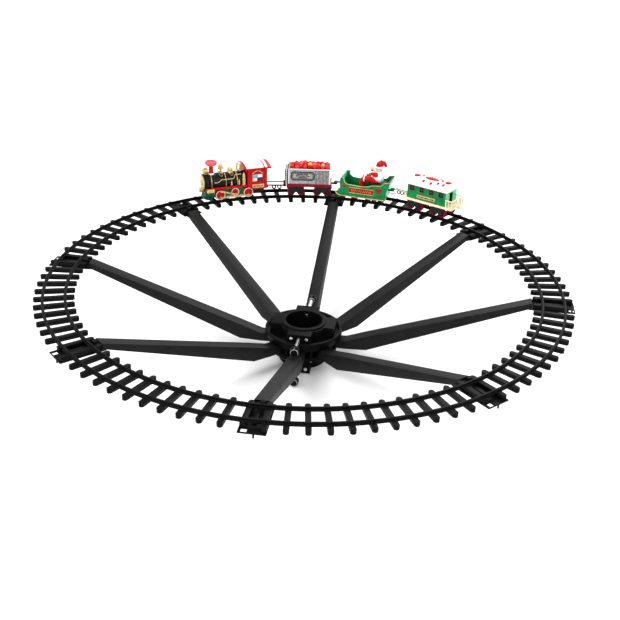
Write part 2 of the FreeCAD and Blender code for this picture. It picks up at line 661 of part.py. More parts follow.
def brass_fittings():
    """Lamp, smokebox door, headlight, bell, dome and safety valves."""
    door = fuse(rod("x", "61.5", "63.2", ("0", "boiler_axis"), "14.5"),
                rod("x", "62", "64.4", ("0", "boiler_axis"), "6"))
    headlight = fuse(rod("x", "60", "69.5", ("0", "19.2"), "4.6"), box(("60", "64"), both("2"), ("15", "22")))
    lamp = cut(fuse(rod("x", "50.5", "59.5", ("0", "58.2"), "5.4"), box(("52", "58"), both("3"), ("46", "58")),
                    rod("z", "60", "65", ("55", "0"), "2")), barrel())
    outlines = [
        (23.0, [("0", "46"), ("5.5", "46"), ("5.5", "54"), ("2", "55.5"), ("2", "59"), ("5.6", "60"),
                ("5", "63"), ("4.2", "68"), ("2.2", "70.4"), ("1.2", "72.4"), ("0", "72.4")]),
        (3.5, [("0", "46"), ("6.6", "46"), ("6.6", "52.4"), ("5.6", "53.4"), ("5.6", "58"),
               ("4.4", "60.6"), ("1.6", "62"), ("0", "62")]),
        (-11.0, [("0", "46"), ("3", "46"), ("3", "53"), ("2", "54"), ("2", "64"), ("2.8", "65"),
                 ("2.4", "69.4"), ("0", "69.4")]),
        (-18.5, [("0", "46"), ("3", "46"), ("3", "53"), ("2", "54"), ("2", "62"), ("2.8", "63"),
                 ("2.4", "67"), ("0", "67")])]
    upright = []
    for forward, points in outlines:
        piece = turned("fitting", points)
        piece.Placement = at(forward)
        upright.append(cut(piece, barrel()))
    return keep("brass_fittings", group(door, headlight, lamp, *upright), LOCO)


def gear(label_teeth, width_start="9.3", width_end="11.2"):
    """Spur gear about Y with tapered teeth that leave running backlash."""
    body = new_body("gear")
    teeth = int(number(label_teeth))
    module = number("gear_module")
    pitch_angle = 2 * math.pi / teeth
    root = module * (teeth / 2.0 - 1.2)
    tip = module * (teeth / 2.0 + 0.9)
    blank = sketch_on(body, "XZ_Plane", -number(width_end))
    blank.addGeometry(Part.Circle(Vector(), Vector(0, 0, 1), root), False)
    import Sketcher
    blank.addConstraint(Sketcher.Constraint("Coincident", 0, 3, -1, 1))
    size = blank.addConstraint(Sketcher.Constraint("Radius", 0, root))
    blank.setExpression("Constraints[%d]" % size, from_sheet("gear_module * (%s / 2 - 1.2)" % label_teeth))
    thickness = "(%s) - (%s)" % (width_end, width_start)
    pad(body, blank, thickness)
    tooth = sketch_on(body, "XZ_Plane", -number(width_end))
    foot_half = root * math.sin(pitch_angle * 0.22)
    tip_half = tip * math.sin(pitch_angle * 0.09)
    outline(tooth, [(str(root - 0.3), str(-foot_half)), (str(tip), str(-tip_half)),
                    (str(tip), str(tip_half)), (str(root - 0.3), str(foot_half))])
    first = pad(body, tooth, thickness)
    teeth_round = body.newObject("PartDesign::PolarPattern", "teeth")
    teeth_round.Originals = [first]
    teeth_round.Axis = (tooth, ["N_Axis"])
    teeth_round.Angle = 360
    teeth_round.Occurrences = teeth
    body.Tip = teeth_round
    return body


MESH_ANGLE = 135.0


def drive_gear():
    """Gear moulded on the rear axle, turned so that a gap faces the pinion."""
    wheel = gear("gear_teeth")
    pitch = 360.0 / number("gear_teeth")
    wheel.Placement = at(0, 0, 0, Rotation(Vector(0, 1, 0), -MESH_ANGLE + pitch / 2))
    return wheel


def motor_axis():
    reach = number("gear_module * (gear_teeth + pinion_teeth) / 2")
    lean = math.radians(MESH_ANGLE)
    return (-number("driver_base / 2") + reach * math.cos(lean), AXLE_UP + reach * math.sin(lean))


def motor_pinion():
    wheel = gear("pinion_teeth")
    wheel.Placement = at(0, 0, 0, Rotation(Vector(0, 1, 0), -MESH_ANGLE + 180))
    x, z = motor_axis()
    whole = fuse(wheel, rod("y", "5.2", "11.4", ("0", "0"), "1"))
    return keep("motor_pinion", whole, LOCO.multiply(at(x, 0, z)))


def drive_motor():
    """Small flat-sided motor lying across the frame."""
    can = common(rod("y", "-10", "7", ("0", "0"), "7.75"), box(both("8"), ("-10", "7"), both("6")))
    nose = cut(rod("y", "7", "8.2", ("0", "0"), "2.6"), rod("y", "6", "9", ("0", "0"), "1 + axle_fit"))
    bearing = rod("y", "5", "8", ("0", "0"), "1 + axle_fit")
    x, z = motor_axis()
    return keep("drive_motor", fuse(cut(can, bearing), nose), LOCO.multiply(at(x, 0, z)))


def battery_cell():
    cell = fuse(rod("x", "-25.2", "24", ("0", "12.4"), "7.2"), rod("x", "24", "25.2", ("0", "12.4"), "2.7"))
    return keep("battery_cell", cell, LOCO)


def battery_cover():
    plate = box(both("27.3"), both("8.6"), ("4", "5.2"))
    screw_hole = rod("z", "3", "6", ("23.5", "0"), "1.2")
    return keep("battery_cover", cut(plate, screw_hole), LOCO)


def power_switch():
    slider = fuse(box(("-59.6", "-53.2"), both("2.3"), ("4.4", "6.8")), box(("-57.6", "-55.2"), both("1.8"), ("2.8", "4.6")))
    return keep("power_switch", slider, LOCO)


def drawbar():
    """Bar from the locomotive's peg to the first wagon's peg."""
    x, y = seen_from(LOCO, GIFT, 51.5)
    back = math.hypot(x + 75, y)
    lean = math.degrees(math.atan2(y, x + 75)) - 180
    reach = "%s" % back
    bar = box(("-(%s)" % reach, "0"), both("1.7"), ("13.2", "15.2"))
    eyes = [rod("z", "12.9", "15.5", (place, "0"), "3.4") for place in ("0", "-(%s)" % reach)]
    ear = box(span("-(%s)" % reach, "3.4"), both("5.2"), ("13.2", "15.2"))
    pivot = rod("z", "12", "17", ("0", "0"), "axle_radius + axle_fit")
    slot = box(span("-(%s)" % reach, "2.1"), both("3.9"), ("12", "17"))
    whole = cut(fuse(bar, ear, *eyes), pivot, slot)
    return keep("drawbar", whole, LOCO.multiply(at(-75, 0, 0, Rotation(Vector(0, 0, 1), lean))))


# --- wagons ----------------------------------------------------------------------------------

def pivot_holes():
    return [rod("z", "frame_low - 1", "frame_top - 0.5", (place, "0"), "pivot_radius + axle_fit")
            for place in ("bogie_offset", "-bogie_offset")]


def rear_peg(x):
    """Tongue with an upright peg that the next wagon's eye drops over."""
    return [box((str(x - 3), "-44"), both("2.6"), ("frame_low + 0.4", "frame_low + 3.4")),
            rod("z", "frame_low + 3.2", "frame_low + 8.6", (str(x), "0"), "axle_radius")]


def front_eye(vehicle, other, peg_x, start):
    """Bar with a wide eye, as low as the next vehicle's peg allows."""
    x, y = seen_from(vehicle, other, peg_x)
    low, high = "frame_low + 4", "frame_low + 6.2"
    ring = rod("z", low, high, (str(x), str(y)), "4.6")
    bar = box((str(start), str(x - 3.2)), both("2.2"), (low, high))
    hole = rod("z", "frame_low + 3", "frame_low + 8", (str(x), str(y)), "3")
    return cut(fuse(ring, bar), hole)


GIFT_PEG, SLEIGH_PEG, COACH_PEG = -55.5, -56.0, -66.0


def gift_wagon_body():
    """Underframe and open hopper in one, with the pegs of both couplings."""
    frame = box(both("46.5"), both("22.6"), ("frame_low", "frame_top"))
    hopper = box(both("43"), both("22"), ("frame_top", "57.5"))
    room = box(both("41"), both("20"), ("frame_top + 2", "58"))
    posts = [box((side + "43.4" if side == "-" else "41", "-41" if side == "-" else "43.4"),
                 span(across + "21.2", "1.4"), ("frame_top", "59"))
             for side in ("", "-") for across in ("", "-")]
    bracket = box(("46", "54.4"), both("3"), ("18.4", "frame_top"))
    peg = rod("z", "12.6", "19", ("51.5", "0"), "axle_radius")
    whole = cut(fuse(frame, hopper, *posts, bracket, peg, *rear_peg(GIFT_PEG)), room, *pivot_holes())
    return keep("gift_wagon_body", whole, GIFT)


def gift_load():
    """Heap of round presents on a tray that drops into the hopper."""
    tray = box(both("40.7"), both("19.7"), ("46", "51"))
    heap = []
    for x, y, z, size in ((-31, -9, 52, 8.5), (-30, 8, 52, 8.5), (-15, -9, 52.5, 9.5), (-14, 8, 52.5, 9.5),
                          (1, -9, 53, 9.8), (2, 8, 53, 9.8), (17, -9, 52.5, 9.5), (18, 8, 52.5, 9.5),
                          (31, -8, 52, 8.5), (31, 8, 51.5, 8.5)):
        heap.append(ball((str(x), str(y), str(z)), (str(size), str(size), str(size))))
    return keep("gift_load", fuse(tray, *heap), GIFT)


def sleigh_body():
    """Sleigh tub with a curled dash, a seat and hidden axle boxes."""
    tub = side_plate("tub", [
        ("-45", "5.5"), ("51", "5.5"), ("56", "9.5"), ("57", "14.5"), ("53", "16.5"), ("50", "21.5"),
        ("51.5", "34"), ("50", "45"), ("43", "46"), ("41", "36"), ("35", "32"), ("8", "30.5"), ("-8", "32"),
        ("-18", "35.5"), ("-36", "37"), ("-42", "44"), ("-54", "46"), ("-52", "37"), ("-47", "23")],
        "2 * cab_half + 0.6")
    room = side_plate("room", [
        ("-43", "19.2"), ("46", "19.2"), ("49", "33"), ("47", "52"), ("-50", "52"), ("-49", "39"), ("-44", "27")],
        "2 * cab_half - 3.4")
    wheels = box(("-44", "50"), both("22.4"), ("3", "17.4"))
    seat = box(("-44", "-14"), both("22.5"), ("18.5", "34"))
    boxes = [box(span(place, "4"), both("12.6"), ("4.6", "18")) for place in ("sleigh_base / 2", "-sleigh_base / 2")]
    holes = [rod("y", "-14", "14", (place, "wagon_wheel + wheel_gap"), "wagon_axle + axle_fit")
             for place in ("sleigh_base / 2", "-sleigh_base / 2")]
    eye = front_eye(SLEIGH, GIFT, GIFT_PEG, 48)
    shell = cut(tub, room, wheels)
    whole = cut(fuse(shell, seat, *boxes, *rear_peg(SLEIGH_PEG), eye), *holes)
    return keep("sleigh_body", whole, SLEIGH)


def sleigh_figure():
    """Seated driver in a long coat and cap, one arm raised."""
    seat_top = "34"
    coat = ball(("-24", "0", "46"), ("12.5", "13.5", "15"))
    head = ball(("-25", "0", "64.5"), ("7.6", "7.8", "8.4"))
    cap = doc.addObject("Part::Cone", "cap")
    bind(cap, "Radius1", "8.2")
    bind(cap, "Radius2", "2.4")
    bind(cap, "Height", "12")
    cap.Placement = at(-25, 0, 68)
    tip = ball(("-28.5", "0", "78.5"), ("3.6", "3.4", "3.4"))
    legs = [fuse(rod("x", "-18", "6", (side + "7", "41"), "6"),
                 rod("z", "23", "43", ("8", side + "7"), "4.8"),
                 box(("4", "15"), span(side + "7", "4.4"), ("22", "27"))) for side in ("", "-")]
    raised = [rod("z", "50", "61", ("-12", "13"), "3.8"), ball(("-12", "13", "65"), ("4.6", "4.6", "5.2"))]
    resting = ball(("-15", "-13", "50"), ("9", "5", "5"))
    shoulder = ball(("-17", "10", "52"), ("7.5", "6", "6"))
    below = box(("-40", "-14"), both("20"), ("10", seat_top))
    whole = cut(fuse(coat, head, cap, tip, *legs, *raised, resting, shoulder), below)
    return keep("sleigh_figure", whole, SLEIGH)


def coach_body():
    """Underframe, windowed body and the railed rear platform."""
    frame = box(("-60", "50"), both("24"), ("frame_low", "frame_top"))
    body = box(both("44"), both("22"), ("frame_top", "53.5"))
    room = box(both("42"), both("20"), ("frame_top + 1", "54"))
    windows = [box(span(place, "5"), both("23"), ("41", "51.5")) for place in ("-33", "-11", "11", "33")]
    doors = [box((start, end), both("6.5"), ("frame_top + 1", "49")) for start, end in (("-45", "-41"), ("41", "45"))]
    posts = [box(span(x, "0.9"), span(y, "0.9"), ("frame_top", "39")) for x, y in (
        ("-58.6", "22.4"), ("-58.6", "-22.4"), ("-58.6", "8"), ("-58.6", "-8"), ("-46", "22.4"), ("-46", "-22.4"),
        ("-52.3", "22.4"), ("-52.3", "-22.4"), ("-58.6", "15.2"), ("-58.6", "-15.2"))]
    rails = [box(("-59.5", "-57.7"), (low, high), ("37.5", "39.4")) for low, high in (("7", "23.3"), ("-23.3", "-7"))]
    rails += [box(("-59.5", "-44"), (low, high), ("37.5", "39.4")) for low, high in (("21.5", "23.3"), ("-23.3", "-21.5"))]
    eye = front_eye(COACH, SLEIGH, SLEIGH_PEG, 49)
    lift = box(("46", "54"), both("2.2"), ("frame_low + 2", "frame_low + 6.2"))
    whole = cut(fuse(frame, body, *posts, *rails, eye, lift, *rear_peg(COACH_PEG)), room, *windows, *doors,
                *pivot_holes())
    return keep("coach_body", whole, COACH)


def coach_roof():
    """Arched roof with its covering of snow."""
    half, base, crown = 24.5, 53.5, 66.0
    rise = crown - base
    curve = (half ** 2 + rise ** 2) / (2 * rise)
    outer = rod("x", "-47", "47", ("0", str(crown - curve)), str(curve))
    inner = rod("x", "-44", "44", ("0", str(crown - curve)), "%s - 3" % curve)
    slab = box(both("47"), both("30"), (str(base), "80"))
    return keep("coach_roof", cut(common(outer, slab), inner), COACH)


# --- the whole ------------------------------------------------------------------------------------

track_sections()
support_arms()
hub_upper_ring()
hub_lower_ring()
hub_screws()
UPPER, LOWER = "hub_height - clamp_height", "clamp_height"
for place, (bearing, level) in enumerate(((-90, UPPER), (90, UPPER), (-90, LOWER), (90, LOWER)), start=1):
    clamp_screw(place, bearing, level)

loco_chassis()
loco_boiler()
loco_cab()
loco_smokestack()
brass_fittings()
battery_cell()
battery_cover()
drive_motor()
motor_pinion()
power_switch()
driving_wheelset("front_wheelset", number("driver_base / 2"))
driving_wheelset("rear_wheelset", -number("driver_base / 2"), drive_gear())
middle_wheel("middle_wheel_left", 1)
middle_wheel("middle_wheel_right", -1)
side_rod("side_rod_left", 1)
side_rod("side_rod_right", -1)
drawbar()

gift_wagon_body()
gift_load()
bogie_pair("gift", GIFT)
sleigh_body()
sleigh_figure()
wagon_wheelset("sleigh_front_wheelset", SLEIGH, number("sleigh_base / 2"), HUB_FACE)
wagon_wheelset("sleigh_rear_wheelset", SLEIGH, -number("sleigh_base / 2"), HUB_FACE)
coach_body()
coach_roof()
bogie_pair("coach", COACH)

doc.recompute()

# --- checks and export ---------------------------------------------------------------------------

for thing in doc.Objects:
    if "Invalid" in thing.State or "Error" in thing.State:
        raise RuntimeError("%s (%s) failed: %s" % (thing.Name, thing.Label, thing.State))
for thing in sub_parts:
    shape = thing.Shape
    if shape.isNull() or not shape.isValid() or not shape.Solids:
        raise RuntimeError("%s has no valid solid" % thing.Label)
    print("%-26s solids %2d  volume %9.1f mm3" % (thing.Label, len(shape.Solids), shape.Volume))
    shape.exportStep("parts/%s.step" % thing.Label)
print(len(sub_parts), "sub-parts")
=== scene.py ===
"""Looks of a battery train on a ring railway that hangs round a pole.

Lengths are millimetres in each vehicle's own frame (X forward, Y towards the
pole, Z up from the rail top) and metres once they are placed in the row frame.
"""
import math
import random

import bmesh
import bpy
from mathutils import Matrix, Vector, noise


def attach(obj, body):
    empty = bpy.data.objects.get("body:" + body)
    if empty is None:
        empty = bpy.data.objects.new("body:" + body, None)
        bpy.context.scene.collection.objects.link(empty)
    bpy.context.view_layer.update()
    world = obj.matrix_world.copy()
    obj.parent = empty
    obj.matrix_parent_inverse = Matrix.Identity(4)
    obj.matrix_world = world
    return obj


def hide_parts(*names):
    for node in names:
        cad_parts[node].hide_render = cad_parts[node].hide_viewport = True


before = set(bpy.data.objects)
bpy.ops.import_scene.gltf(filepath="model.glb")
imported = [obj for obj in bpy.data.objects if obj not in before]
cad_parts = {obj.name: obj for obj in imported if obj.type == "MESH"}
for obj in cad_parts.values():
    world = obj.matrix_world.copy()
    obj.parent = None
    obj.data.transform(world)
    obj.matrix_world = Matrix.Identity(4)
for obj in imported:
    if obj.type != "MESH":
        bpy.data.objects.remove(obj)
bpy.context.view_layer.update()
MM = 0.001
RAIL_TOP = 157.0
TRACK_RADIUS = 416.15
# where an arm's tray and a clamp screw's knob start, from the pole's axis; past the first, the tray under
# the track is painted darker as shade
TRAY_SHADE_FROM, KNOB_FROM = 377.0, 86.9
# from a vehicle's middle to its end axles or bogie pivots
LOCO_BASE, BOGIE_BASE, SLEIGH_BASE = 29.75, 28.0, 22.0
AXLE_HEIGHT = 10.15
MIDDLE_WHEEL_PLACE, MIDDLE_WHEEL_LIFT = -1.55, 4.0
# the locomotive's frame is black behind this
REAR_FRAME = -41.0
BOARD_LOW, BOARD_TOP = 22.7, 25.3
BOILER_AXIS, BOILER_RADIUS = 34.0, 17.5
FRAME_EDGE = 24.6
BERRY_HEIGHT, ROOF_CURVE = 66.3, 30.26
RING_TOP = 23.3
random.seed(11)


# --- materials ------------------------------------------------------------------------

def surface(name, colour, rough=0.4, vary=0.15, grain=0.1, metal=0.0, coat=0.0, size=90.0, shine=0.5):
    """A procedural finish: its colour drifts between two tones, its gloss is
    uneven, and a fine grain stands up from it."""
    mat = bpy.data.materials.new(name)
    mat.use_nodes = True
    nodes, links = mat.node_tree.nodes, mat.node_tree.links
    shader = nodes["Principled BSDF"]
    shader.inputs["Metallic"].default_value = metal
    shader.inputs["Coat Weight"].default_value = coat
    shader.inputs["Specular IOR Level"].default_value = shine
    shader.inputs["Coat Roughness"].default_value = 0.12
    place = nodes.new("ShaderNodeTexCoord")
    cloud = nodes.new("ShaderNodeTexNoise")
    cloud.inputs["Scale"].default_value = size
    cloud.inputs["Detail"].default_value = 5.0
    links.new(place.outputs["Object"], cloud.inputs["Vector"])
    tones = nodes.new("ShaderNodeValToRGB")
    low = [c * (1.0 - vary) for c in colour]
    high = [min(1.0, c * (1.0 + vary)) for c in colour]
    tones.color_ramp.elements[0].position = 0.3
    tones.color_ramp.elements[0].color = (*low, 1.0)
    tones.color_ramp.elements[1].position = 0.7
    tones.color_ramp.elements[1].color = (*high, 1.0)
    links.new(cloud.outputs["Fac"], tones.inputs["Fac"])
    links.new(tones.outputs["Color"], shader.inputs["Base Color"])
    gloss = nodes.new("ShaderNodeMapRange")
    gloss.inputs["To Min"].default_value = max(0.05, rough - 0.07)
    gloss.inputs["To Max"].default_value = min(1.0, rough + 0.09)
    links.new(cloud.outputs["Fac"], gloss.inputs["Value"])
    links.new(gloss.outputs["Result"], shader.inputs["Roughness"])
    fine = nodes.new("ShaderNodeTexNoise")
    fine.inputs["Scale"].default_value = 1400.0
    fine.inputs["Detail"].default_value = 3.0
    links.new(place.outputs["Object"], fine.inputs["Vector"])
    bump = nodes.new("ShaderNodeBump")
    bump.inputs["Strength"].default_value = grain
    bump.inputs["Distance"].default_value = 0.0002
    links.new(fine.outputs["Fac"], bump.inputs["Height"])
    links.new(bump.outputs["Normal"], shader.inputs["Normal"])
    return mat


TRACK_BLACK = surface("track_black", (0.0035, 0.0035, 0.0035), 0.42, 0.3, 0.15, shine=0.05)
ARM_BLACK = surface("arm_black", (0.007, 0.007, 0.007), 0.46, 0.3, 0.2, size=40, shine=0.1)
HUB_BLACK = surface("hub_black", (0.002, 0.002, 0.002), 0.4, 0.3, 0.15, size=50, shine=0.04)
KNOB_BLACK = surface("knob_black", (0.0035, 0.0035, 0.0035), 0.5, 0.2, 0.3, shine=0.06)
STEEL = surface("steel", (0.62, 0.62, 0.6), 0.3, 0.08, 0.1, metal=1.0, size=200)
BOILER = surface("boiler_black", (0.006, 0.006, 0.006), 0.34, 0.3, 0.1, shine=0.12)
GREEN = surface("green", (0.004, 0.18, 0.055), 0.38, 0.25, 0.12, coat=0.04, shine=0.12)
DARK_GREEN = surface("dark_green", (0.002, 0.06, 0.024), 0.4, 0.25, 0.12, shine=0.1)
MINT = surface("mint_green", (0.07, 0.45, 0.22), 0.38, 0.15, 0.12, coat=0.2)
RED = surface("red", (0.44, 0.004, 0.004), 0.36, 0.2, 0.1, coat=0.03, shine=0.12)
CRIMSON = surface("crimson", (0.2, 0.003, 0.016), 0.4, 0.2, 0.1, shine=0.1)
BRICK = surface("brick_red", (0.3, 0.012, 0.006), 0.4, 0.25, 0.15, shine=0.12)
SCARLET = surface("scarlet", (0.62, 0.012, 0.014), 0.3, 0.25, 0.1, coat=0.15, shine=0.2)
ROSE = surface("rose", (0.72, 0.09, 0.11), 0.4, 0.2, 0.12, shine=0.2)
GOLD = surface("gold", (0.60, 0.43, 0.18), 0.3, 0.5, 0.3, metal=0.5, size=380)
GILT = surface("gilt_paint", (0.60, 0.42, 0.16), 0.42, 0.3, 0.2, metal=0.2, shine=0.3)
CREAM = surface("cream", (0.84, 0.73, 0.48), 0.45, 0.1, 0.12)
WHITE = surface("white", (0.88, 0.88, 0.87), 0.5, 0.04, 0.15)
SNOW = surface("snow", (0.92, 0.93, 0.94), 0.62, 0.03, 0.8, size=300)
SILVER = surface("silver_grey", (0.34, 0.33, 0.33), 0.38, 0.55, 0.3, metal=0.4, size=420)
PALE = surface("pale_grey", (0.68, 0.68, 0.68), 0.4, 0.1, 0.15, metal=0.2)
SHADE = surface("dark_line", (0.022, 0.014, 0.016), 0.5, 0.2, 0.1, shine=0.12)
BOGIE_BLACK = surface("bogie_black", (0.007, 0.006, 0.007), 0.42, 0.25, 0.2, shine=0.2)
GLASS_BLUE = surface("pane_blue", (0.16, 0.42, 0.78), 0.15, 0.2, 0.02)
GLASS_WHITE = surface("pane_white", (0.85, 0.87, 0.88), 0.15, 0.05, 0.02)
GLASS_NAVY = surface("pane_navy", (0.02, 0.02, 0.09), 0.15, 0.2, 0.02)
GLASS_SAND = surface("pane_sand", (0.80, 0.68, 0.42), 0.2, 0.2, 0.02)
BROWN = surface("brown", (0.10, 0.035, 0.02), 0.5, 0.25, 0.2)
ORANGE = surface("orange", (0.80, 0.33, 0.05), 0.35, 0.15, 0.1, coat=0.3)
YELLOW = surface("yellow", (0.90, 0.62, 0.03), 0.32, 0.15, 0.1, coat=0.3)
SKIN = surface("skin", (0.80, 0.52, 0.40), 0.5, 0.08, 0.1)


# --- building meshes ------------------------------------------------------------------

class Shape:
    """A mesh being built, in millimetres."""

    def __init__(self):
        self.mesh = bmesh.new()

    def take(self, part):
        """Add a finished part to the mesh."""
        bmesh.ops.recalc_face_normals(part, faces=part.faces)
        carrier = bpy.data.meshes.new("carrier")
        part.to_mesh(carrier)
        self.mesh.from_mesh(carrier)
        bpy.data.meshes.remove(carrier)
        part.free()
        return self

    def block(self, x, y, z, bevel=0.35):
        """A box between ranges, its edges rounded."""
        part = bmesh.new()
        corners = [[part.verts.new((a, b, c)) for c in z] for a in x for b in y]
        (p, q), (r, s), (t, u), (v, w) = corners
        for loop in ((p, q, s, r), (t, u, w, v), (p, q, u, t), (r, s, w, v), (p, r, v, t), (q, s, w, u)):
            part.faces.new(loop)
        bmesh.ops.recalc_face_normals(part, faces=part.faces)
        soften(part, bevel)
        return self.take(part)

    def prism(self, outline, low, high, bevel=0.35):
        """An outline of Y and Z pushed along X from low to high."""
        part = bmesh.new()
        first = [part.verts.new((low, y, z)) for y, z in outline]
        last = [part.verts.new((high, y, z)) for y, z in outline]
        count = len(outline)
        part.faces.new(first)
        part.faces.new(last)
        for i in range(count):
            part.faces.new((first[i], first[(i + 1) % count], last[(i + 1) % count], last[i]))
        bmesh.ops.recalc_face_normals(part, faces=part.faces)
        soften(part, bevel)
        return self.take(part)

    def lathe(self, profile, at=(0, 0, 0), axis="z", steps=32):
        """Points of radius and height turned about an axis through at; a
        profile that ends where it starts makes a ring."""
        part = bmesh.new()
        rings = []
        hollow = profile[0] == profile[-1]
        if hollow:
            profile = profile[:-1]
        for radius, height in profile:
            if radius < 1e-6:
                rings.append([part.verts.new((0, 0, height))])
                continue
            rings.append([part.verts.new((radius * math.cos(2 * math.pi * k / steps),
                                          radius * math.sin(2 * math.pi * k / steps), height))
                          for k in range(steps)])
        following = rings[1:] + rings[:1] if hollow else rings[1:]
        for one, two in zip(rings, following):
            for k in range(steps):
                corners = [one[k % len(one)], one[(k + 1) % len(one)],
                           two[(k + 1) % len(two)], two[k % len(two)]]
                corners = list(dict.fromkeys(corners))
                if len(corners) > 2:
                    part.faces.new(corners)
        for ring in (rings[0], rings[-1]):
            if len(ring) > 1 and not hollow:
                part.faces.new(ring)
        turn = {"x": Matrix.Rotation(math.pi / 2, 3, "Y"), "y": Matrix.Rotation(-math.pi / 2, 3, "X"),
                "z": Matrix.Identity(3)}[axis]
        bmesh.ops.rotate(part, cent=(0, 0, 0), matrix=turn, verts=part.verts)
        bmesh.ops.translate(part, vec=at, verts=part.verts)
        return self.take(part)

    def tube(self, points, radius, closed=False, sides=10):
        """A round bar along points; radius may be one number or one for each."""
        part = bmesh.new()
        line = [Vector(p) for p in points]
        count = len(line)
        radii = radius if isinstance(radius, (list, tuple)) else [radius] * count
        rings, side = [], None
        for i, point in enumerate(line):
            ahead = line[(i + 1) % count] if closed or i < count - 1 else point
            behind = line[i - 1] if closed or i > 0 else point
            along = (ahead - behind).normalized()
            if side is None:
                side = along.orthogonal().normalized()
            side = (side - along * side.dot(along)).normalized()
            other = along.cross(side)
            ring = []
            for k in range(sides):
                angle = 2 * math.pi * k / sides
                away = side * math.cos(angle) + other * math.sin(angle)
                ring.append(part.verts.new(point + radii[i] * away))
            rings.append(ring)
        pairs = list(zip(rings, rings[1:])) + ([(rings[-1], rings[0])] if closed else [])
        for one, two in pairs:
            for k in range(sides):
                part.faces.new((one[k], one[(k + 1) % sides], two[(k + 1) % sides], two[k]))
        if not closed:
            part.faces.new(rings[0])
            part.faces.new(rings[-1])
        return self.take(part)

    def ball(self, centre, radii, lumps=0.0, detail=24, tilt=None):
        """An ellipsoid, with lumps as a share of its size."""
        part = bmesh.new()
        bmesh.ops.create_uvsphere(part, u_segments=detail, v_segments=detail // 2 + 2, radius=1.0)
        for vertex in part.verts:
            swell = 1.0 + lumps * noise.noise(vertex.co * 2.3 + Vector(centre))
            vertex.co = Vector([c * r * swell for c, r in zip(vertex.co, radii)])
        if tilt:
            bmesh.ops.rotate(part, cent=(0, 0, 0), verts=part.verts,
                             matrix=Matrix.Rotation(math.radians(tilt[1]), 3, tilt[0]))
        bmesh.ops.translate(part, vec=centre, verts=part.verts)
        return self.take(part)

    def put(self, name, place, material, body, slot, *nodes):
        """Make the object, in the row frame, riding on its body."""
        self.mesh.transform(place)
        data = bpy.data.meshes.new(name)
        self.mesh.to_mesh(data)
        self.mesh.free()
        return dress(data, name, material, body, slot, *nodes)


def soften(part, width, angle=30.0):
    """Round every edge that turns by more than an angle."""
    if width <= 0:
        return
    limit = math.radians(angle)
    sharp = [e for e in part.edges if len(e.link_faces) == 2 and e.calc_face_angle(0.0) > limit]
    bmesh.ops.bevel(part, geom=sharp, offset=width, segments=2, profile=0.6, affect="EDGES",
                    clamp_overlap=True)


def dress(data, name, material, body, slot, *nodes):
    """A mesh as a finished object: its materials, body and nodes. The slot is not used."""
    data.shade_smooth()
    data.set_sharp_from_angle(angle=math.radians(38))
    materials = material if isinstance(material, (list, tuple)) else [material]
    for item in materials:
        data.materials.append(item)
    piece = bpy.data.objects.new(name, data)
    bpy.context.scene.collection.objects.link(piece)
    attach(piece, body)
    if nodes:
        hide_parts(*nodes)
    return piece


def moulded(node, material, body, slot, width=0.35, paint=None, place=None, split=()):
    """A CAD node with its edges rounded as a moulding's are. paint gives a
    material's number for a face from its middle and facing in its own frame,
    and split lists the places along X where a face is cut in two first."""
    part = bmesh.new()
    part.from_mesh(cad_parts[node].data)
    bmesh.ops.remove_doubles(part, verts=part.verts, dist=2e-6)
    bmesh.ops.dissolve_limit(part, angle_limit=math.radians(0.4), verts=part.verts, edges=part.edges)
    for x in split:
        bmesh.ops.bisect_plane(part, geom=part.verts[:] + part.edges[:] + part.faces[:], dist=1e-7,
                               plane_co=place @ Vector((x, 0, 0)), plane_no=place.col[0].xyz.normalized())
    if paint:
        back = place.inverted()
        for face in part.faces:
            facing = (back.to_3x3() @ face.normal).normalized()
            face.material_index = paint(back @ face.calc_center_median(), facing)
    soften(part, width * MM, 34.0)
    data = bpy.data.meshes.new(node)
    part.to_mesh(data)
    part.free()
    return dress(data, node + "_skin", material, body, slot, node)


def on_track(angle, half_base):
    """A vehicle's frame, from millimetres to the row frame in metres."""
    radius = math.sqrt(TRACK_RADIUS ** 2 - half_base ** 2)
    turn = math.radians(angle)
    base = Vector((radius * math.cos(turn), radius * math.sin(turn), RAIL_TOP)) * MM
    return Matrix.Translation(base) @ Matrix.Rotation(turn + math.pi / 2, 4, "Z") @ Matrix.Scale(MM, 4)


def flank(side, inner, outer):
    """The range along Y between two distances from the middle, on one side."""
    return sorted((side * inner, side * outer))


def beyond(reach):
    """A paint: 1 for faces further from the pole's axis than a reach."""
    return lambda middle, facing: int(math.hypot(middle.x, middle.y) > reach)


LOCO = on_track(120.3, LOCO_BASE)
GIFT = on_track(97.7, BOGIE_BASE)
SLEIGH = on_track(81.1, SLEIGH_BASE)
COACH = on_track(61.3, BOGIE_BASE)
ROW = Matrix.Scale(MM, 4)
SIDES = ((1, "left"), (-1, "right"))


# --- stand ----------------------------------------------------------------------------

for count in range(1, 9):
    moulded("track_section_%d" % count, TRACK_BLACK, "stand", "black_plastic", 0.3)
    # each arm's tray, under the track, takes the darker track black: painted shade under the track
    moulded("support_arm_%d" % count, [ARM_BLACK, TRACK_BLACK], "stand", "black_plastic", 0.7,
            beyond(TRAY_SHADE_FROM), ROW)
moulded("hub_upper_ring", HUB_BLACK, "stand", "black_plastic", 0.6)
moulded("hub_lower_ring", HUB_BLACK, "stand", "black_plastic", 0.6)
moulded("hub_screws", STEEL, "stand", "screw_steel", 0.25)
for count in range(1, 5):
    name = "clamp_screw_%d" % count
    moulded(name, [STEEL, KNOB_BLACK], name, "screw_steel", 0.3, beyond(KNOB_FROM), ROW)


# --- locomotive -----------------------------------------------------------------------

